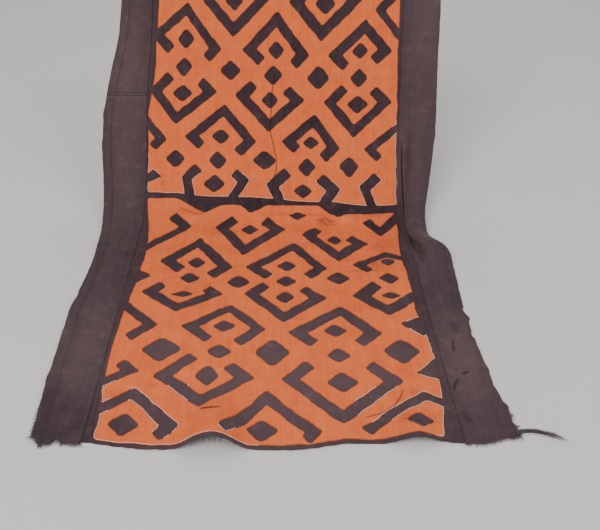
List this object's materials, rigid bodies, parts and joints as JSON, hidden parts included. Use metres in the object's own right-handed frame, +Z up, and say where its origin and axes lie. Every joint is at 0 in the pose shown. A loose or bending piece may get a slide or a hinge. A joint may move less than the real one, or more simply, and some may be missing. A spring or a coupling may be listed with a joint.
{
  "type": "kuba raffia cloth",
  "caption": "Dark raffia cloth with an orange cut-work field between plain dark borders, hung from its top edge and swept forward over the floor.",
  "frame": {"origin": "the middle of the top edge, on the underside of the cloth, where it is held up", "axes": "+Z up, +X to the right along the top edge, -Y the way the cloth sweeps forward over the floor"},
  "size_m": [0.7663, 0.8488, 0.5628],
  "materials": {
    "orange_raffia": "matt woven raffia with a soft cut nap",
    "dark_raffia": "matt plain-woven raffia, streaky purple-brown dye",
    "frayed_thread": "matt loose raffia fibre"
  },
  "bodies": {
    "root": {"border_left_lower": "dark_raffia", "border_left_upper": "dark_raffia", "border_right": "dark_raffia", "cutwork_lower": "orange_raffia", "cutwork_upper": "orange_raffia", "frayed_end": "frayed_thread", "ground_cloth": "dark_raffia"}
  },
  "joints": []
}
